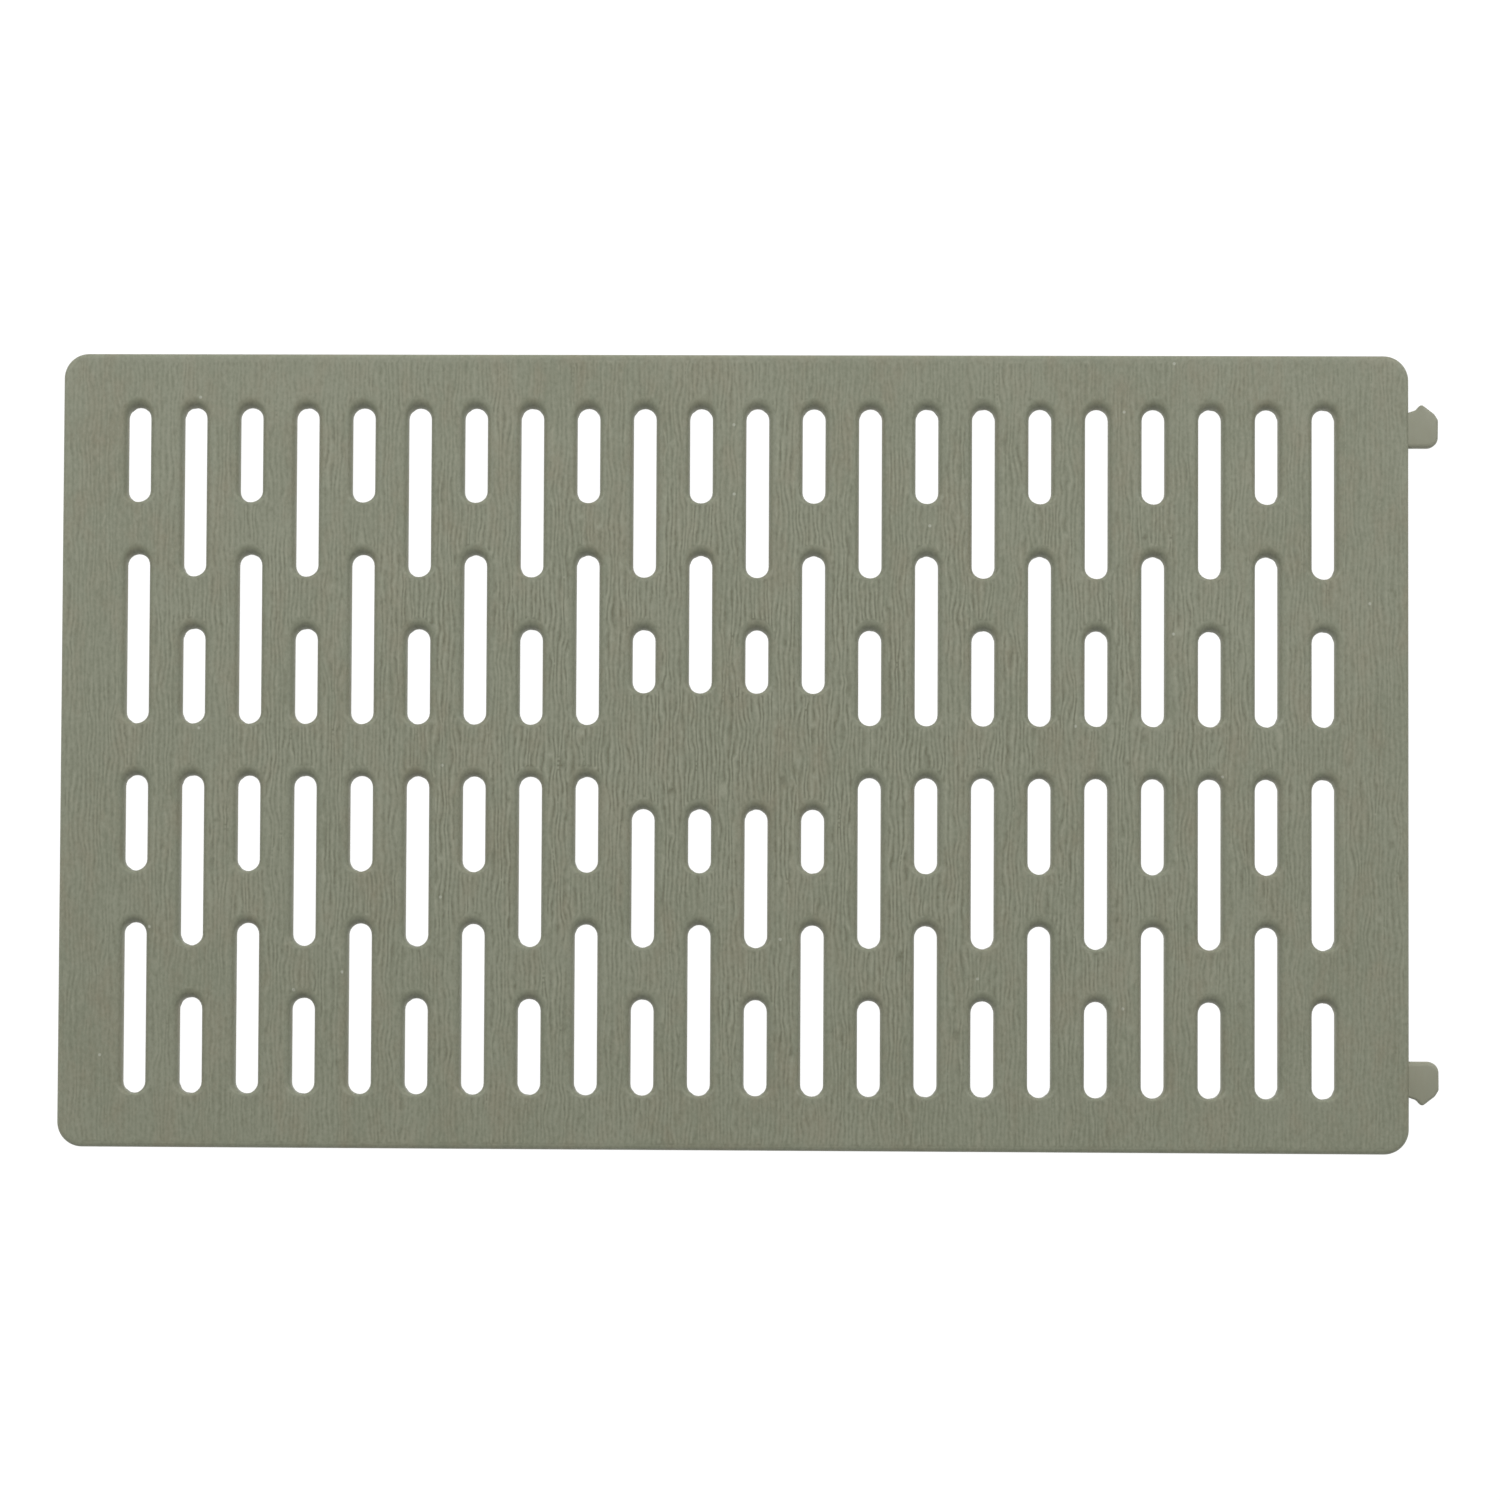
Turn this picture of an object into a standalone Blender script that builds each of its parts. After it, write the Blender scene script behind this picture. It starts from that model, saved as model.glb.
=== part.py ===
"""Queen excluder: a flat moulded plastic plate with staggered bee slots and two barbed snap tabs.

Metres, +Z up. The plate lies on its back face with its grained front face up, its long side along X.
The origin is the centre of the plate's back face. Both snap tabs stand out of the +X edge.
"""

import math

import bmesh
import bpy

# Plate
PLATE_LENGTH = 0.2490
PLATE_WIDTH = 0.1470
PLATE_THICKNESS = 0.0025
CORNER_RADIUS = 0.0046
CORNER_SEGMENTS = 6

# The front rims of the slots and the front outer edge are rounded to one radius; the back is sharp
FRONT_ROUNDING = 0.0009
ROUNDING_STEPS = 2

# Slots: columns along Y, each with four slots of two lengths in alternate order
COLUMN_COUNT = 22
COLUMN_PITCH = 0.01045
FIRST_COLUMN_FROM_EDGE = 0.0140
SLOT_WIDTH = 0.0042
SHORT_SLOT = 0.0177
LONG_SLOT = 0.0315
BRIDGE = 0.0096
SLOT_END_SEGMENTS = 6

# Blank pad at the middle of the plate: in these columns the two slots beside the middle bridge
# stop short of it by PAD_CUTBACK
PAD_COLUMNS = (10, 11, 12, 13)
PAD_CUTBACK = 0.0059

# Snap tabs, measured outward from the plate's +X edge and sideways from the tab's middle line
TAB_OFFSET = 0.0598
TAB_ROOT_GAP = 0.0003
TAB_LENGTH = 0.0055
TAB_HALF_WIDTH = 0.0033
TAB_THICKNESS = 0.0017
TAB_LIFT = 0.0003
TAB_EDGE_ROUNDING = 0.00025
TAB_CORNER_RADIUS = 0.0020
TAB_CORNER_SEGMENTS = 5
BARB_HEEL = (0.0014, 0.0038)
BARB_PEAK = (0.0022, 0.0047)
BARB_PEAK_FLAT = 0.0004
BARB_LEAD_IN_END = (0.0048, 0.0030)
TAB_NOSE = (0.0055, 0.0019)

# Plastic
PLASTIC_COLOUR = (0.232, 0.237, 0.167, 1.0)
PLASTIC_ROUGHNESS = 0.55


def clear_scene():
    for obj in list(bpy.data.objects):
        bpy.data.objects.remove(obj, do_unlink=True)


def plastic(name):
    """Sage-grey moulded plastic, one material for each piece."""
    material = bpy.data.materials.new(name)
    material.use_nodes = True
    shader = material.node_tree.nodes["Principled BSDF"]
    shader.inputs["Base Color"].default_value = PLASTIC_COLOUR
    shader.inputs["Roughness"].default_value = PLASTIC_ROUGHNESS
    shader.inputs["Metallic"].default_value = 0.0
    return material


def arc(centre, radius, start, end, segments):
    """Points of an arc, both ends included. Angles are in radians."""
    points = []
    for step in range(segments + 1):
        angle = start + (end - start) * step / segments
        points.append((centre[0] + radius * math.cos(angle), centre[1] + radius * math.sin(angle)))
    return points


def plate_outline(inset):
    """The plate's rounded rectangle, drawn inset by this much, anticlockwise."""
    radius = CORNER_RADIUS - inset
    x = PLATE_LENGTH / 2 - CORNER_RADIUS
    y = PLATE_WIDTH / 2 - CORNER_RADIUS
    quarter = math.pi / 2
    outline = []
    for turn, corner in enumerate(((x, y), (-x, y), (-x, -y), (x, -y))):
        outline += arc(corner, radius, turn * quarter, (turn + 1) * quarter, CORNER_SEGMENTS)
    return outline


def slot_outline(slot, spread):
    """A round-ended slot, drawn wider all round by spread, anticlockwise."""
    x, y_low, y_high = slot
    radius = SLOT_WIDTH / 2
    ends = SLOT_END_SEGMENTS
    upper = arc((x, y_high - radius), radius + spread, 0.0, math.pi, ends)
    lower = arc((x, y_low + radius), radius + spread, math.pi, 2 * math.pi, ends)
    return upper + lower


def slots():
    """Every slot as (x, y_low, y_high), column by column from -X, each from +Y down."""
    grid_height = 2 * SHORT_SLOT + 2 * LONG_SLOT + 3 * BRIDGE
    found = []
    for column in range(1, COLUMN_COUNT + 1):
        x = -PLATE_LENGTH / 2 + FIRST_COLUMN_FROM_EDGE + (column - 1) * COLUMN_PITCH
        lengths = [SHORT_SLOT, LONG_SLOT] * 2
        if column % 2 == 0:
            lengths.reverse()
        top = grid_height / 2
        for row, length in enumerate(lengths):
            y_high = top
            y_low = top - length
            if column in PAD_COLUMNS and row == 1:
                y_low += PAD_CUTBACK
            if column in PAD_COLUMNS and row == 2:
                y_high -= PAD_CUTBACK
            found.append((x, y_low, y_high))
            top -= length + BRIDGE
    return found


def add_ring(bm, outline, z):
    """A closed ring of edges at one height. Returns its vertices and its edges."""
    verts = [bm.verts.new((x, y, z)) for x, y in outline]
    edges = [bm.edges.new((verts[i - 1], verts[i])) for i in range(len(verts))]
    return verts, edges


def add_wall(bm, lower, upper, faces_out):
    """A band of quads between two rings with the same number of points."""
    for i in range(len(lower)):
        quad = [lower[i - 1], lower[i], upper[i], upper[i - 1]]
        if not faces_out:
            quad.reverse()
        bm.faces.new(quad)


def new_object(name, bm, material):
    mesh = bpy.data.meshes.new(name)
    bm.to_mesh(mesh)
    bm.free()
    mesh.materials.append(material)
    mesh.shade_smooth()
    mesh.set_sharp_from_angle(angle=math.radians(35))
    obj = bpy.data.objects.new(name, mesh)
    bpy.context.scene.collection.objects.link(obj)
    return obj


def side_profile():
    """(spread, height) up a side of the plate: a straight wall, then the front's quarter round."""
    profile = [(0.0, 0.0)]
    for step in range(ROUNDING_STEPS + 1):
        angle = math.pi / 2 * step / ROUNDING_STEPS
        spread = FRONT_ROUNDING * (1 - math.cos(angle))
        height = PLATE_THICKNESS - FRONT_ROUNDING * (1 - math.sin(angle))
        profile.append((spread, height))
    return profile


def add_side(bm, outline_at, faces_out):
    """One side surface all round an outline. Returns its edges on the back and on the front face."""
    rings = [add_ring(bm, outline_at(spread), height) for spread, height in side_profile()]
    for (lower, _), (upper, _) in zip(rings, rings[1:]):
        add_wall(bm, lower, upper, faces_out)
    return rings[0][1], rings[-1][1]


def build_plate():
    """The slotted plate: the sides of its outline and of every slot, closed by the two flat faces."""
    bm = bmesh.new()
    back_edges, front_edges = add_side(bm, plate_outline, True)
    for slot in slots():
        back, front = add_side(bm, lambda spread, slot=slot: slot_outline(slot, spread), False)
        back_edges += back
        front_edges += front
    bmesh.ops.triangle_fill(bm, use_beauty=True, edges=back_edges, normal=(0, 0, -1))
    bmesh.ops.triangle_fill(bm, use_beauty=True, edges=front_edges, normal=(0, 0, 1))
    bmesh.ops.recalc_face_normals(bm, faces=bm.faces)
    return new_object("slotted_plate", bm, plastic("slotted_plate_plastic"))


def tab_outline(side):
    """A snap tab seen from above, anticlockwise, about the middle of its root. Its barb is on side."""
    corner = (TAB_LENGTH - TAB_CORNER_RADIUS, -TAB_HALF_WIDTH + TAB_CORNER_RADIUS)
    outline = [(0.0, -TAB_HALF_WIDTH)]
    outline += arc(corner, TAB_CORNER_RADIUS, -math.pi / 2, 0.0, TAB_CORNER_SEGMENTS)
    outline.append(TAB_NOSE)
    outline.append(BARB_LEAD_IN_END)
    outline.append((BARB_PEAK[0] + BARB_PEAK_FLAT, BARB_PEAK[1]))
    outline.append(BARB_PEAK)
    outline.append(BARB_HEEL)
    outline.append((0.0, TAB_HALF_WIDTH))
    outline = [(x - TAB_ROOT_GAP if x else 0.0, side * y) for x, y in outline]
    return outline if side > 0 else outline[::-1]


def build_tab(name, side, plate):
    """One snap tab, with its origin at the middle of its root, where it bends."""
    bm = bmesh.new()
    verts, _ = add_ring(bm, tab_outline(side), 0.0)
    bm.faces.new(verts)
    made = bmesh.ops.extrude_face_region(bm, geom=bm.faces[:])
    top = [item for item in made["geom"] if isinstance(item, bmesh.types.BMVert)]
    bmesh.ops.translate(bm, verts=top, vec=(0, 0, TAB_THICKNESS))
    bmesh.ops.recalc_face_normals(bm, faces=bm.faces)
    tab = new_object(name, bm, plastic(name + "_plastic"))
    bevel = tab.modifiers.new("rounded_edges", "BEVEL")
    bevel.width = TAB_EDGE_ROUNDING
    bevel.segments = 2
    bevel.limit_method = "ANGLE"
    bevel.angle_limit = math.radians(60)
    tab.location = (PLATE_LENGTH / 2 + TAB_ROOT_GAP, side * TAB_OFFSET, TAB_LIFT)
    tab.parent = plate
    return tab


def main():
    clear_scene()
    plate = build_plate()
    build_tab("snap_tab_upper", 1, plate)
    build_tab("snap_tab_lower", -1, plate)


main()
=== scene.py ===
"""Looks of a plastic queen excluder: a slotted plate with a fine embossed grain, and its two snap tabs.

Metres, +Z up, in the CAD frame: the plate lies on its back face with its grained front face up.
"""

import math

import bmesh
import bpy
import numpy as np
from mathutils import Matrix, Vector
from mathutils.geometry import delaunay_2d_cdt


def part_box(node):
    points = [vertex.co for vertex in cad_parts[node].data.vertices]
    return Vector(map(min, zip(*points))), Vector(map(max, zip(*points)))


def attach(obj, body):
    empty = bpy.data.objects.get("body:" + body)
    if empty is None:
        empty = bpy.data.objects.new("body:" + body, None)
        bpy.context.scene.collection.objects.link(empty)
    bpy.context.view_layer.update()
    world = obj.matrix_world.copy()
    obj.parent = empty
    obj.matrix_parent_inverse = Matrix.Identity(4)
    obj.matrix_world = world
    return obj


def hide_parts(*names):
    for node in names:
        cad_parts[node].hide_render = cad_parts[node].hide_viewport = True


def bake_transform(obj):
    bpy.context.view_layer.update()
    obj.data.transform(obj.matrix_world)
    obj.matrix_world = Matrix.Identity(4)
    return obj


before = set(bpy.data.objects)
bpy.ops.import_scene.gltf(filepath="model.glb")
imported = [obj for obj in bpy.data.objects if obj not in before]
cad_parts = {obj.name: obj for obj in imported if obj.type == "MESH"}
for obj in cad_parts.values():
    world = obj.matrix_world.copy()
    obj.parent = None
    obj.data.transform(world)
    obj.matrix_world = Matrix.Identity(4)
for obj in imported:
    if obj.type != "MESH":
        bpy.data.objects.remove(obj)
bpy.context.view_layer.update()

MM = 0.001

# Plate edges. The front rims are rounded. A slot's rounding is widest at its upper end (+Y) and
# narrowest at its lower end, and its depth is its width times the steepness, up to the deepest. The
# back edges have a small chamfer
CORNER_RADIUS = 4.6 * MM
OUTER_ROUNDING = 0.9 * MM
SLOT_ROUNDING = 1.2 * MM
UPPER_END_ROUNDING = 1.8 * MM
LOWER_END_ROUNDING = 0.3 * MM
SLOT_STEEPNESS = 1.5
DEEPEST_ROUNDING = 2.3 * MM
ROUNDING_STEPS = 5
BACK_CHAMFER = 0.12 * MM
CORNER_SEGMENTS = 12
SLOT_END_SEGMENTS = 12
STRAIGHT_STEP = 2.0 * MM

# Embossed grain of the front face: fine ripples that run along Y, sway, merge and break off, and fade
# away from the middle of the plate. Each sway is how far it moves the ripples, counted in ripples, and
# the width and length of its lumps. Where the sways stretch the ripples so wide that they pass at less
# than the slowest share of their usual rate, none is made
GRAIN_PITCH = 0.86 * MM
GRAIN_DEPTH = 0.05 * MM
GRAIN_ROW_STEP = 0.8 * MM
GRAIN_SAMPLE_STEP = 0.1 * MM
GRAIN_SWAYS = (
    (0.52, (2.6 * MM, 6.5 * MM)),
    (0.38, (0.8 * MM, 4.5 * MM)),
    (0.20, (0.85 * MM, 1.6 * MM)),
)
GRAIN_SLOWEST = 0.35
SEED = 11

# How deep the grain is, as a share of its full depth: strongest at the middle, less with distance by
# the reach, which is counted in half plates, and varied by patches and gaps of these widths and lengths.
# It starts at the clearance from a rim and has its whole depth from the fade on
MIDDLE_STRENGTH = 0.67
GRAIN_REACH = 1.25
PATCH_AREA = (7.0 * MM, 9.0 * MM)
PATCH_STRENGTH = 0.35
GAP_AREA = (0.7 * MM, 1.3 * MM)
GAP_STRENGTH = 0.7
GRAIN_CLEARANCE = 0.12 * MM
GRAIN_FADE = 0.25 * MM
RIM_TOLERANCE = 0.05 * MM

# The front's grain value is this on a crest of full depth, and minus this in such a valley
FULL_GRAIN = 0.5

# Snap tabs: distances along the tab are from the plate's edge, and across it from its middle line
TAB_HALF_WIDTH = 3.3 * MM
TAB_CORNER_RADIUS = 2.0 * MM
TAB_NOSE_SIDE = 1.9 * MM
TAB_NOSE_RADIUS = 0.9 * MM
BARB_LEAD_IN_END = (4.8 * MM, 3.0 * MM)
BARB_LEAD_IN_RADIUS = 0.9 * MM
BARB_PEAK = (2.4 * MM, 4.85 * MM)
BARB_PEAK_RADIUS = 0.55 * MM
BARB_HEEL = (1.4 * MM, 3.75 * MM)
BARB_HEEL_RADIUS = 1.2 * MM
BARB_START = 0.1 * MM
TAB_ROUNDING = 0.8 * MM
BARB_ROUNDING = 0.5 * MM
TAB_ROUNDING_STEPS = 4
TAB_BACK_CHAMFER = 0.1 * MM
TAB_EMBED = 1.2 * MM
TAB_ROOT_RADIUS = 0.95 * MM
TAB_STEP = 0.4 * MM
ARC_STEP = math.radians(9)
LEAST_CORNER_COSINE = 0.5

# Meshes. A flat face is one whose normal has more than this along Z, and filling works in millimetres
MERGE_DISTANCE = 1e-6
FLAT_NORMAL = 0.9
FILL_TOLERANCE = 1e-6
NEARLY_ZERO = 1e-12
SHARP_ANGLE = math.radians(32)

# Plastic: a base colour, and noise that mixes other colours in. Lumps are a noise's lengths along X, Y
# and Z, a range is the part of the noise that is used, and a share is the most that is mixed in
PLASTIC = (0.2160, 0.2300, 0.1615)
TAB_PLASTIC = (0.262, 0.264, 0.195)
PLASTIC_BROWN = (0.237, 0.213, 0.143)
BROWN_LUMPS = (5.0 * MM, 11.0 * MM, 5.0 * MM)
BROWN_RANGE = (0.46, 0.69)
PLATE_BROWN_SHARE = 0.58
TAB_BROWN_SHARE = 0.25
PLASTIC_PALE = (0.290, 0.300, 0.225)
PALE_RANGE = (0.35, 0.75)
HAZE_LUMPS = (10.0 * MM, 16.0 * MM, 10.0 * MM)
HAZE_SHARE = 0.34
CLOUD_LUMPS = (0.9 * MM, 3.0 * MM, 0.9 * MM)
CLOUD_SHARE = 0.22

# Painted shade for the valleys of the front's grain and a painted highlight for its crests, and the
# flecks of noise that break both up
VALLEY_SHADE = (0.150, 0.153, 0.100)
CREST_HIGHLIGHT = (0.300, 0.308, 0.228)
SHADE_FLECK_LUMPS = (0.45 * MM, 0.7 * MM, 0.45 * MM)
SHADE_FLECK_RANGE = (0.25, 0.75)
SHADE_FLECK_STRENGTH = 0.19

# Pale specks on the front. Their radii, where a speck starts to fade and where it ends, are in spacings
SPECK = (0.55, 0.56, 0.48)
SPECK_SPACING = 9.0 * MM
SPECK_CHANCE = 0.05
SPECK_RADII = (0.020, 0.042)
SPECK_SHARE = 0.55

# Surface of the plastic
ROUGHNESS = (0.49, 0.63)
ROUGHNESS_LUMPS = (1.6 * MM, 4.0 * MM, 1.6 * MM)
ROUGHNESS_RANGE = (0.3, 0.7)
PORE_LUMPS = (0.22 * MM, 0.50 * MM, 0.22 * MM)
PORE_DEPTH = 0.012 * MM
PORE_STRENGTH = 0.6

# Camera: nearly straight down. The tilt is in degrees
CAMERA_PLACE = (14.76 * MM, -16.16 * MM, 614.5 * MM)
CAMERA_TILT = (1.543, 1.066, 0.258)
SENSOR_WIDTH = 36.0
LENS = 79.67
CLIP_START = 0.01

# Studio: a white floor meets a white backdrop at the horizon, which fades to a dim sky. Its top is the
# sine of the height angle where the fade ends. Two equal lights shine down from past the plate's +Y
# edge, one on each side
WHITE = (1.0, 1.0, 1.0, 1.0)
FLOOR_SIZE = 60.0
FLOOR_GAP = 0.02 * MM
FLOOR_COLOUR = (0.1, 0.1, 0.1, 1.0)
FLOOR_ROUGHNESS = 0.9
FLOOR_GLOW = 1.0
BACKDROP_TOP = 0.42
BACKDROP_STRENGTH = 1.0
SKY_STRENGTH = 0.18
RIGHT_LIGHT_PLACE = (0.68, 0.59, 1.0)
LEFT_LIGHT_PLACE = (-0.68, 0.59, 1.0)
LIGHT_SIZE = (0.7, 0.5)
LIGHT_POWER = 8.6


def clamp(value, low, high):
    return max(low, min(high, value))


def arc(centre, radius, start, end, segments):
    """Points of an arc, both ends included. Angles are in radians."""
    points = []
    for step in range(segments + 1):
        angle = start + (end - start) * step / segments
        points.append((centre[0] + radius * math.cos(angle), centre[1] + radius * math.sin(angle)))
    return points


def subdivided(outline, step):
    """A closed outline with points added along every side longer than a step."""
    dense = []
    for start, end in zip(outline, outline[1:] + outline[:1]):
        count = max(1, round(math.dist(start, end) / step))
        for i in range(count):
            share = i / count
            x = start[0] + (end[0] - start[0]) * share
            y = start[1] + (end[1] - start[1]) * share
            dense.append((x, y))
    return dense


class Slot:
    """A round-ended slot along Y, from the lowest and highest corner of its outline."""

    steepness = SLOT_STEEPNESS

    def __init__(self, low, high):
        self.x = (low[0] + high[0]) / 2
        self.radius = (high[0] - low[0]) / 2
        self.y_low = low[1] + self.radius
        self.y_high = high[1] - self.radius

    def outline(self, spread):
        """Its outline, drawn wider all round by spread, anticlockwise."""
        radius = self.radius + spread
        upper = arc((self.x, self.y_high), radius, 0.0, math.pi, SLOT_END_SEGMENTS)
        lower = arc((self.x, self.y_low), radius, math.pi, 2 * math.pi, SLOT_END_SEGMENTS)
        return subdivided(upper + lower, STRAIGHT_STEP)

    def rounding(self, x, y):
        """How wide the rim's rounding is beside each point."""
        above = np.maximum(y - self.y_high, 0.0)
        below = np.maximum(self.y_low - y, 0.0)
        reach = np.maximum((x - self.x)**2 + above**2 + below**2, NEARLY_ZERO)
        wider = (UPPER_END_ROUNDING - SLOT_ROUNDING) * above**2 / reach
        narrower = (SLOT_ROUNDING - LOWER_END_ROUNDING) * below**2 / reach
        return SLOT_ROUNDING + wider - narrower

    def distance(self, x, y):
        """How far points lie outside the slot."""
        along = np.maximum(np.maximum(self.y_low - y, y - self.y_high), 0.0)
        return np.hypot(x - self.x, along) - self.radius


class Plate:
    """The plate's rounded rectangle, from the lowest and highest corner of its box."""

    steepness = 1.0

    def __init__(self, low, high):
        self.half_x = (high[0] - low[0]) / 2
        self.half_y = (high[1] - low[1]) / 2
        self.back = low[2]
        self.front = high[2]

    def outline(self, inset):
        """Its outline, drawn inset by this much, anticlockwise."""
        x = self.half_x - CORNER_RADIUS
        y = self.half_y - CORNER_RADIUS
        radius = CORNER_RADIUS - inset
        quarter = math.pi / 2
        points = []
        for turn, corner in enumerate(((x, y), (-x, y), (-x, -y), (x, -y))):
            points += arc(corner, radius, turn * quarter, (turn + 1) * quarter, CORNER_SEGMENTS)
        return subdivided(points, STRAIGHT_STEP)

    def rounding(self, x, y):
        """How wide the rim's rounding is: the same all round."""
        return OUTER_ROUNDING

    def distance(self, x, y):
        """How far points lie inside the plate's outline."""
        over_x = np.abs(x) - (self.half_x - CORNER_RADIUS)
        over_y = np.abs(y) - (self.half_y - CORNER_RADIUS)
        corner = np.hypot(np.maximum(over_x, 0.0), np.maximum(over_y, 0.0))
        return CORNER_RADIUS - corner - np.minimum(np.maximum(over_x, over_y), 0.0)


def read_slots(node):
    """Every slot of the CAD plate, from the outlines on its back face."""
    bm = bmesh.new()
    bm.from_mesh(node.data)
    bmesh.ops.remove_doubles(bm, verts=bm.verts, dist=MERGE_DISTANCE)
    back = min(vert.co.z for vert in bm.verts)
    rims = set()
    for edge in bm.edges:
        flat = [abs(face.normal.z) > FLAT_NORMAL for face in edge.link_faces]
        if all(vert.co.z < back + MERGE_DISTANCE for vert in edge.verts) and not all(flat):
            rims.add(edge)
    outlines = []
    while rims:
        reached = [rims.pop()]
        points = set()
        while reached:
            edge = reached.pop()
            for vert in edge.verts:
                points.add(tuple(vert.co))
                near = rims.intersection(vert.link_edges)
                rims.difference_update(near)
                reached.extend(near)
        outlines.append((np.min(list(points), axis=0), np.max(list(points), axis=0)))
    bm.free()
    # The longest outline is the plate's own. Those of one length are put in order by their place
    outlines.sort(key=lambda box: (box[1][1] - box[0][1], *box[0]))
    return [Slot(low, high) for low, high in outlines[:-1]]


def add_side(verts, faces, levels, outward):
    """Bands of quads between rings of points. Returns the first and the last ring's vertex numbers."""
    rings = []
    for points in levels:
        first = len(verts)
        verts.extend(points)
        rings.append(list(range(first, first + len(points))))
    for lower, upper in zip(rings, rings[1:]):
        for i in range(len(lower)):
            quad = (lower[i - 1], lower[i], upper[i], upper[i - 1])
            faces.append(quad if outward else quad[::-1])
    return rings[0], rings[-1]


def fill(verts, faces, rings, points, squeeze, wanted, upward):
    """Triangles between closed rings and through loose points.

    The triangles are chosen with Y squeezed by this much. wanted says which triangle centres stay.
    """
    numbers = [number for ring in rings for number in ring]
    first = len(verts)
    verts.extend(points)
    numbers += range(first, first + len(points))
    place = {number: i for i, number in enumerate(numbers)}
    flat = [Vector((verts[n][0] / MM, verts[n][1] / MM * squeeze)) for n in numbers]
    edges = [(place[ring[i - 1]], place[ring[i]]) for ring in rings for i in range(len(ring))]
    _, _, found, sources, _, _ = delaunay_2d_cdt(flat, edges, [], 0, FILL_TOLERANCE)
    triangles = np.array([[numbers[sources[corner][0]] for corner in corners] for corners in found])
    centres = np.array(verts)[triangles].mean(axis=1)
    kept = triangles[wanted(centres[:, 0], centres[:, 1])]
    corners = np.array(verts)[kept][:, :, :2]
    side = corners[:, 1:] - corners[:, :1]
    turns_left = side[:, 0, 0] * side[:, 1, 1] - side[:, 0, 1] * side[:, 1, 0] > 0
    for triangle, left in zip(kept.tolist(), turns_left.tolist()):
        faces.append(tuple(triangle) if left == upward else tuple(reversed(triangle)))


def new_piece(name, verts, faces, material):
    mesh = bpy.data.meshes.new(name)
    mesh.from_pydata(verts, [], faces)
    mesh.validate()
    mesh.materials.append(material)
    mesh.shade_smooth()
    mesh.set_sharp_from_angle(angle=SHARP_ANGLE)
    piece = bpy.data.objects.new(name, mesh)
    bpy.context.scene.collection.objects.link(piece)
    return piece


def side_levels(outline_at, rounding_at, back, front, chamfer, steps, steepness=1.0):
    """Rings of points up a side: the back edge's chamfer, a straight wall, the front's rounding."""
    edge = outline_at(0.0)
    outward = [Vector(far) - Vector(near) for far, near in zip(outline_at(MM), edge)]
    levels = [[(x, y, back) for x, y in outline_at(chamfer)], [(x, y, back + chamfer) for x, y in edge]]
    for step in range(steps + 1):
        angle = math.pi / 2 * step / steps
        level = []
        for (x, y), away in zip(edge, outward):
            rounding = rounding_at(x, y)
            spread = rounding * (1 - math.cos(angle)) / MM
            drop = min(rounding * steepness, DEEPEST_ROUNDING) * (1 - math.sin(angle))
            level.append((x + away.x * spread, y + away.y * spread, front - drop))
        levels.append(level)
    return levels


class Lumps:
    """Smooth random values from -1 to 1 over the plate, in lumps of one width and length."""

    def __init__(self, chance, plate, size):
        self.low = (-plate.half_x, -plate.half_y)
        self.size = size
        counts = [int(-2 * low / length) + 2 for low, length in zip(self.low, size)]
        self.heights = chance.uniform(-1.0, 1.0, counts)

    def at(self, x, y):
        column, across = np.divmod((x - self.low[0]) / self.size[0], 1.0)
        row, along = np.divmod((y - self.low[1]) / self.size[1], 1.0)
        column, row = column.astype(int), row.astype(int)
        across = across**2 * (3 - 2 * across)
        along = along**2 * (3 - 2 * along)
        near = self.heights[column, row] * (1 - along) + self.heights[column, row + 1] * along
        far = self.heights[column + 1, row] * (1 - along) + self.heights[column + 1, row + 1] * along
        return near * (1 - across) + far * across


def grain_lines(plate, sways, parity):
    """Points along the ripples' crests (parity 0) or along the valleys between them (parity 1)."""
    across = np.arange(-plate.half_x, plate.half_x, GRAIN_SAMPLE_STEP)
    rows = np.arange(-plate.half_y + parity * GRAIN_ROW_STEP / 2, plate.half_y, GRAIN_ROW_STEP)
    x, y = np.meshgrid(across, rows)
    half_turns = 2 * (x / GRAIN_PITCH + sum(amount * lumps.at(x, y) for amount, lumps in sways))
    before, after = half_turns[:, :-1], half_turns[:, 1:]
    crossed = np.maximum(np.floor(before), np.floor(after))
    narrow = np.abs(after - before) > GRAIN_SLOWEST * 2 * GRAIN_SAMPLE_STEP / GRAIN_PITCH
    found = (np.floor(before) != np.floor(after)) & (crossed % 2 == parity) & narrow
    share = (crossed[found] - before[found]) / (after[found] - before[found])
    return x[:, :-1][found] + share * GRAIN_SAMPLE_STEP, y[:, :-1][found]


def front_points(plate, flat_distance):
    """Points of the flat front face between its rims, set down by the grain, and the grain at each."""
    chance = np.random.default_rng(SEED)
    sways = [(amount, Lumps(chance, plate, area)) for amount, area in GRAIN_SWAYS]
    patches = Lumps(chance, plate, PATCH_AREA)
    gaps = Lumps(chance, plate, GAP_AREA)
    points, grain = [], []
    for valley in (0, 1):
        x, y = grain_lines(plate, sways, valley)
        room = flat_distance(x, y)
        clear = room > GRAIN_CLEARANCE
        x, y, room = x[clear], y[clear], room[clear]
        reach = np.hypot(x / plate.half_x, y / plate.half_y) / GRAIN_REACH
        strength = MIDDLE_STRENGTH * np.exp(-(reach**2)) * (1 + PATCH_STRENGTH * patches.at(x, y))
        strength = strength * (1 + GAP_STRENGTH * gaps.at(x, y)) * np.minimum(1.0, room / GRAIN_FADE)
        strength = np.clip(strength, 0.0, 1.0)
        z = plate.front - GRAIN_DEPTH * strength * valley
        points += zip(x.tolist(), y.tolist(), z.tolist())
        grain += (strength * (-FULL_GRAIN if valley else FULL_GRAIN)).tolist()
    return points, grain


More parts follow.
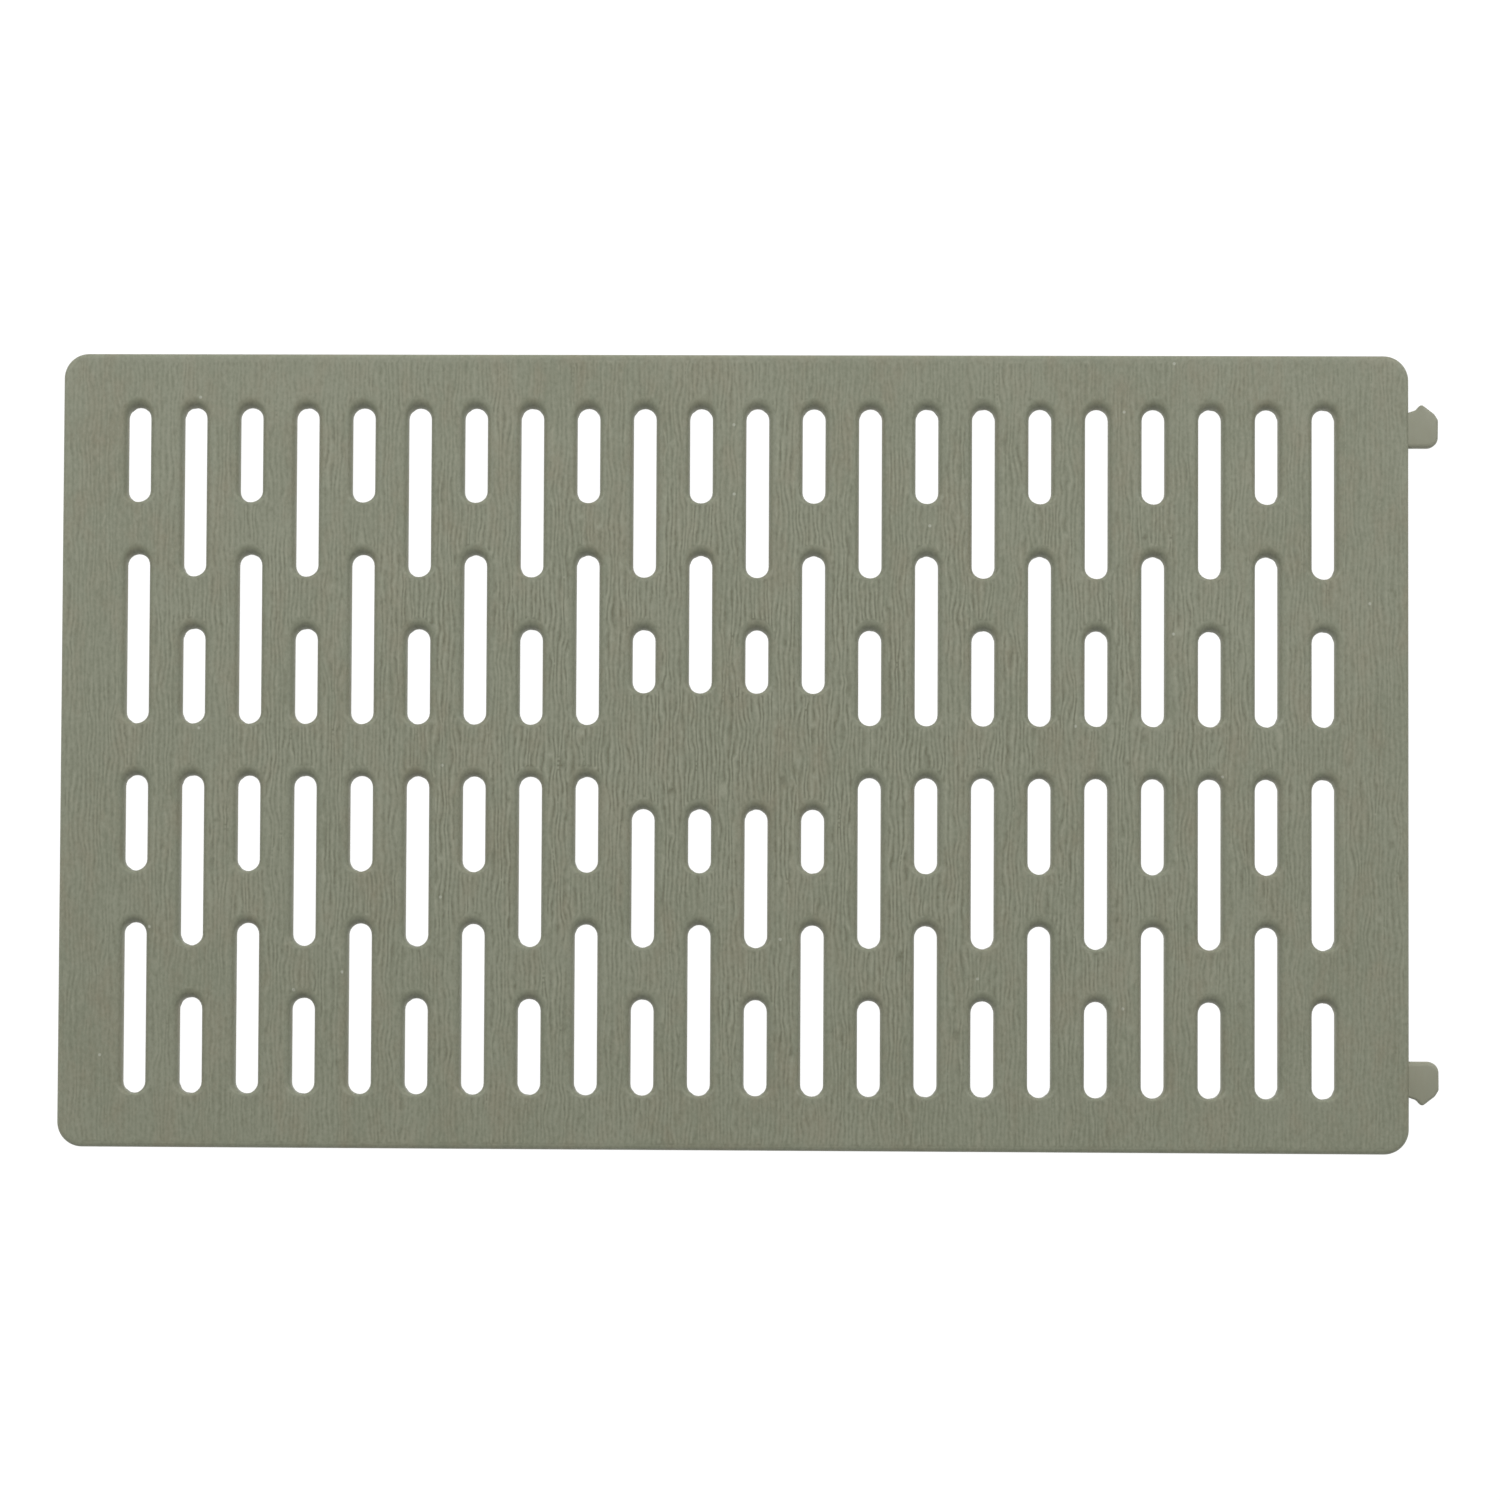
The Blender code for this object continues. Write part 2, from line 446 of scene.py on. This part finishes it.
def build_plate(material):
    """The slotted plate: the sides of its outline and slots, its flat back and its grained front."""
    plate = Plate(*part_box("slotted_plate"))
    edges = [plate] + read_slots(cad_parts["slotted_plate"])

    def on_plastic(x, y):
        """Whether points lie on the back face, clear of the slots."""
        return np.minimum.reduce([edge.distance(x, y) for edge in edges]) > 0.0

    def flat_distance(x, y):
        """How far points of the front face lie from the nearest rounded rim. Negative on a rim."""
        return np.minimum.reduce([edge.distance(x, y) - edge.rounding(x, y) for edge in edges])

    def on_front(x, y):
        """Whether points lie on the front face, within the tolerance of its rims."""
        return flat_distance(x, y) > -RIM_TOLERANCE

    verts, faces, ends = [], [], []
    section = (plate.back, plate.front, BACK_CHAMFER, ROUNDING_STEPS)
    for edge in edges:
        levels = side_levels(edge.outline, edge.rounding, *section, edge.steepness)
        ends.append(add_side(verts, faces, levels, edge is plate))
    points, grain = front_points(plate, flat_distance)
    grain = [0.0] * len(verts) + grain
    fill(verts, faces, [first for first, _ in ends], [], 1.0, on_plastic, False)
    squeeze = GRAIN_PITCH / 2 / GRAIN_ROW_STEP
    fill(verts, faces, [last for _, last in ends], points, squeeze, on_front, True)
    piece = new_piece("plate_moulding", verts, faces, material)
    # The grain value sets where the front's material paints shade in the valleys and a highlight on the
    # crests
    values = piece.data.attributes.new("grain", "FLOAT", "POINT")
    values.data.foreach_set("value", grain)
    return piece


def rounded_corner(before, corner, after, radius):
    """An arc of this radius that replaces the corner between two straight sides."""
    corner = Vector(corner)
    back = (Vector(before) - corner).normalized()
    ahead = (Vector(after) - corner).normalized()
    half = back.angle(ahead) / 2
    centre = corner + (back + ahead).normalized() * (radius / math.sin(half))
    start = corner + back * (radius / math.tan(half)) - centre
    end = corner + ahead * (radius / math.tan(half)) - centre
    turn = start.angle_signed(end)
    first = math.atan2(start.y, start.x)
    segments = max(2, round(abs(turn) / ARC_STEP))
    return arc(centre, radius, first, first - turn, segments)


def tab_outline(length):
    """A snap tab's outline from above, anticlockwise, with its barb at +Y."""
    corners = [
        ((-TAB_EMBED, -TAB_HALF_WIDTH), TAB_ROOT_RADIUS),
        ((length, -TAB_HALF_WIDTH), TAB_CORNER_RADIUS),
        ((length, TAB_NOSE_SIDE), TAB_NOSE_RADIUS),
        (BARB_LEAD_IN_END, BARB_LEAD_IN_RADIUS),
        (BARB_PEAK, BARB_PEAK_RADIUS),
        (BARB_HEEL, BARB_HEEL_RADIUS),
        ((BARB_START, TAB_HALF_WIDTH), 0.0),
        ((-TAB_EMBED, TAB_HALF_WIDTH), TAB_ROOT_RADIUS),
    ]
    outline = []
    for i, (corner, radius) in enumerate(corners):
        before = corners[i - 1][0]
        after = corners[(i + 1) % len(corners)][0]
        outline += rounded_corner(before, corner, after, radius) if radius else [corner]
    return subdivided(outline, TAB_STEP)


def offset(outline, inset):
    """An anticlockwise outline moved inward by this much, each point along the middle of its corner."""
    moved = []
    for i, point in enumerate(outline):
        here = Vector(point)
        back = (here - Vector(outline[i - 1])).normalized()
        ahead = (Vector(outline[(i + 1) % len(outline)]) - here).normalized()
        normals = Vector((-back.y, back.x)) + Vector((-ahead.y, ahead.x))
        inward = normals.normalized()
        reach = inset / max(LEAST_CORNER_COSINE, inward.dot(Vector((-back.y, back.x))))
        moved.append(tuple(here + inward * reach))
    return moved


def build_tab(name, node, material):
    """One snap tab. Its root is set into the plate's edge."""
    low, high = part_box(node)
    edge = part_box("slotted_plate")[1].x
    side = 1 if low.y > 0 else -1
    middle = low.y + TAB_HALF_WIDTH if side > 0 else high.y - TAB_HALF_WIDTH
    outline = tab_outline(high.x - edge)

    def placed(inset):
        """The tab's outline where it stands on the plate's edge, inset by this much."""
        points = [(edge + x, middle + side * y) for x, y in offset(outline, inset)]
        return points if side > 0 else points[::-1]

    def rounding(x, y):
        """Wide along the tab's plain side and narrow on its barb."""
        barbward = clamp(side * (y - middle) / TAB_HALF_WIDTH / 2 + 0.5, 0.0, 1.0)
        return TAB_ROUNDING + (BARB_ROUNDING - TAB_ROUNDING) * barbward

    verts, faces = [], []
    levels = side_levels(placed, rounding, low.z, high.z, TAB_BACK_CHAMFER, TAB_ROUNDING_STEPS)
    first, last = add_side(verts, faces, levels, True)
    faces.append(tuple(reversed(first)))
    faces.append(tuple(last))
    tab = new_piece(name, verts, faces, material)
    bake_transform(tab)
    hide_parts(node)


def add_node(tree, kind, inputs=None, **settings):
    """A new shader node. Each input is a value, or the output socket that feeds it."""
    made = tree.nodes.new(kind)
    for name, value in settings.items():
        setattr(made, name, value)
    for key, value in (inputs or {}).items():
        if isinstance(value, bpy.types.NodeSocket):
            tree.links.new(value, made.inputs[key])
        else:
            made.inputs[key].default_value = value
    return made


def noise_value(tree, place, lumps, detail=2.0, roughness=0.5, offset_by=(0.0, 0.0, 0.0)):
    """Noise from 0 to 1 with lumps about this long. The offset moves it to another part of the noise."""
    scale = tuple(1.0 / length for length in lumps)
    inputs = {"Vector": place, "Location": offset_by, "Scale": scale}
    mapped = add_node(tree, "ShaderNodeMapping", inputs).outputs["Vector"]
    inputs = {"Vector": mapped, "Scale": 1.0, "Detail": detail, "Roughness": roughness}
    return add_node(tree, "ShaderNodeTexNoise", inputs).outputs["Fac"]


def remap(tree, value, low, high, to_low=0.0, to_high=1.0, smooth=False):
    """A value between low and high, mapped to between to_low and to_high."""
    inputs = {"Value": value, "From Min": low, "From Max": high, "To Min": to_low, "To Max": to_high}
    kind = "SMOOTHSTEP" if smooth else "LINEAR"
    return add_node(tree, "ShaderNodeMapRange", inputs, interpolation_type=kind).outputs["Result"]


def math_node(tree, operation, first, second):
    """One maths operation on two values or sockets."""
    return add_node(tree, "ShaderNodeMath", {0: first, 1: second}, operation=operation).outputs[0]


def mix_colour(tree, share, first, second):
    """Two colours mixed. Each is a colour or a socket. A Mix node takes them as its inputs 6 and 7."""
    inputs = {0: share}
    for key, colour in ((6, first), (7, second)):
        inputs[key] = colour if isinstance(colour, bpy.types.NodeSocket) else (*colour, 1.0)
    return add_node(tree, "ShaderNodeMix", inputs, data_type="RGBA").outputs[2]


def plastic_colour(tree, place, plastic, brown_share):
    """A base colour with brownish patches, a pale haze and small pale clouds."""
    patches = noise_value(tree, place, BROWN_LUMPS, detail=4.0, roughness=0.6)
    share = remap(tree, patches, *BROWN_RANGE, 0.0, brown_share)
    colour = mix_colour(tree, share, plastic, PLASTIC_BROWN)
    haze = noise_value(tree, place, HAZE_LUMPS, detail=3.0, offset_by=(2.0, 9.0, 4.0))
    share = remap(tree, haze, *PALE_RANGE, 0.0, HAZE_SHARE)
    colour = mix_colour(tree, share, colour, PLASTIC_PALE)
    clouds = noise_value(tree, place, CLOUD_LUMPS, detail=3.0, roughness=0.6)
    share = remap(tree, clouds, *PALE_RANGE, 0.0, CLOUD_SHARE)
    return mix_colour(tree, share, colour, PLASTIC_PALE)


def with_specks(tree, place, colour):
    """A colour with a few pale specks on the plate's front."""
    inputs = {"Vector": place, "Scale": 1.0 / SPECK_SPACING}
    cells = add_node(tree, "ShaderNodeTexVoronoi", inputs, voronoi_dimensions="2D")
    lot = add_node(tree, "ShaderNodeSeparateColor", {0: cells.outputs["Color"]}).outputs[0]
    near = remap(tree, cells.outputs["Distance"], *SPECK_RADII, SPECK_SHARE, 0.0, smooth=True)
    speck = math_node(tree, "MULTIPLY", math_node(tree, "LESS_THAN", lot, SPECK_CHANCE), near)
    height = add_node(tree, "ShaderNodeSeparateXYZ", {0: place}).outputs["Z"]
    front_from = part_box("slotted_plate")[1].z - 2 * GRAIN_DEPTH
    on_front = math_node(tree, "GREATER_THAN", height, front_from)
    return mix_colour(tree, math_node(tree, "MULTIPLY", speck, on_front), colour, SPECK)


def with_grain_shading(tree, place, colour):
    """A colour with painted shade in the grain's valleys and a painted highlight on its crests, broken
    up by flecks of noise.
    """
    grain = add_node(tree, "ShaderNodeAttribute", attribute_name="grain").outputs["Fac"]
    noise = noise_value(tree, place, SHADE_FLECK_LUMPS, offset_by=(3.0, 7.0, 2.0))
    shade_flecks = remap(tree, noise, *SHADE_FLECK_RANGE, -SHADE_FLECK_STRENGTH, SHADE_FLECK_STRENGTH)
    grain = math_node(tree, "ADD", grain, shade_flecks)
    # Painted shade darkens the valleys and a painted highlight pales the crests; the noise flecks add
    # small spots of both
    colour = mix_colour(tree, remap(tree, grain, 0.0, -FULL_GRAIN), colour, VALLEY_SHADE)
    return mix_colour(tree, remap(tree, grain, 0.0, FULL_GRAIN), colour, CREST_HIGHLIGHT)


def moulded_plastic(name, plastic, grained):
    """Satin sage-grey plastic. The grained front carries embossed lines, with painted shade in their
    valleys and a painted highlight on their crests; the rest is nearly smooth.
    """
    material = bpy.data.materials.new(name)
    material.use_nodes = True
    tree = material.node_tree
    shader = tree.nodes["Principled BSDF"]
    place = add_node(tree, "ShaderNodeTexCoord").outputs["Object"]

    brown_share = PLATE_BROWN_SHARE if grained else TAB_BROWN_SHARE
    colour = plastic_colour(tree, place, plastic, brown_share)
    if grained:
        colour = with_grain_shading(tree, place, with_specks(tree, place, colour))
    rough = noise_value(tree, place, ROUGHNESS_LUMPS, detail=3.0, offset_by=(5.0, 2.0, 1.0))
    roughness = remap(tree, rough, *ROUGHNESS_RANGE, *ROUGHNESS)
    pores = noise_value(tree, place, PORE_LUMPS)
    inputs = {"Height": pores, "Distance": PORE_DEPTH, "Strength": PORE_STRENGTH}
    bump = add_node(tree, "ShaderNodeBump", inputs)

    tree.links.new(colour, shader.inputs["Base Color"])
    tree.links.new(roughness, shader.inputs["Roughness"])
    tree.links.new(bump.outputs[0], shader.inputs["Normal"])
    return material


def add_floor():
    """A plain white table top that glows a little, so it stays white between the walls of the slots."""
    mesh = bpy.data.meshes.new("floor")
    half = FLOOR_SIZE / 2
    corners = [(-half, -half, 0.0), (half, -half, 0.0), (half, half, 0.0), (-half, half, 0.0)]
    mesh.from_pydata(corners, [], [(0, 1, 2, 3)])
    material = bpy.data.materials.new("floor_white")
    material.use_nodes = True
    shader = material.node_tree.nodes["Principled BSDF"]
    shader.inputs["Base Color"].default_value = FLOOR_COLOUR
    shader.inputs["Roughness"].default_value = FLOOR_ROUGHNESS
    shader.inputs["Specular IOR Level"].default_value = 0.0
    shader.inputs["Emission Color"].default_value = WHITE
    shader.inputs["Emission Strength"].default_value = FLOOR_GLOW
    mesh.materials.append(material)
    floor = bpy.data.objects.new("floor", mesh)
    floor.location.z = -FLOOR_GAP
    bpy.context.scene.collection.objects.link(floor)


def add_area_light(name, place):
    """A soft light that shines at the origin."""
    light = bpy.data.lights.new(name, "AREA")
    light.shape = "RECTANGLE"
    light.size, light.size_y = LIGHT_SIZE
    light.energy = LIGHT_POWER
    lamp = bpy.data.objects.new(name, light)
    lamp.location = place
    lamp.rotation_euler = (-Vector(place)).to_track_quat("-Z", "Y").to_euler()
    bpy.context.scene.collection.objects.link(lamp)


def add_backdrop():
    """A world that is white at the horizon and dims upward."""
    world = bpy.data.worlds.new("studio")
    world.use_nodes = True
    tree = world.node_tree
    background = tree.nodes["Background"]
    background.inputs["Color"].default_value = WHITE
    direction = add_node(tree, "ShaderNodeTexCoord").outputs["Generated"]
    height = add_node(tree, "ShaderNodeSeparateXYZ", {0: direction}).outputs["Z"]
    strength = remap(tree, height, 0.0, BACKDROP_TOP, BACKDROP_STRENGTH, SKY_STRENGTH, smooth=True)
    tree.links.new(strength, background.inputs["Strength"])
    bpy.context.scene.world = world
    bpy.context.scene.view_settings.view_transform = "Standard"


def add_camera():
    data = bpy.data.cameras.new("camera")
    data.sensor_width = SENSOR_WIDTH
    data.lens = LENS
    data.clip_start = CLIP_START
    camera = bpy.data.objects.new("camera", data)
    camera.location = CAMERA_PLACE
    camera.rotation_euler = [math.radians(angle) for angle in CAMERA_TILT]
    bpy.context.scene.collection.objects.link(camera)
    bpy.context.scene.camera = camera


plate = build_plate(moulded_plastic("grained_plastic", PLASTIC, True))
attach(plate, "plate")
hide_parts("slotted_plate")
smooth_plastic = moulded_plastic("smooth_plastic", TAB_PLASTIC, False)
build_tab("upper_tab_moulding", "snap_tab_upper", smooth_plastic)
build_tab("lower_tab_moulding", "snap_tab_lower", smooth_plastic)
add_floor()
add_area_light("left_light", LEFT_LIGHT_PLACE)
add_area_light("right_light", RIGHT_LIGHT_PLACE)
add_backdrop()
add_camera()
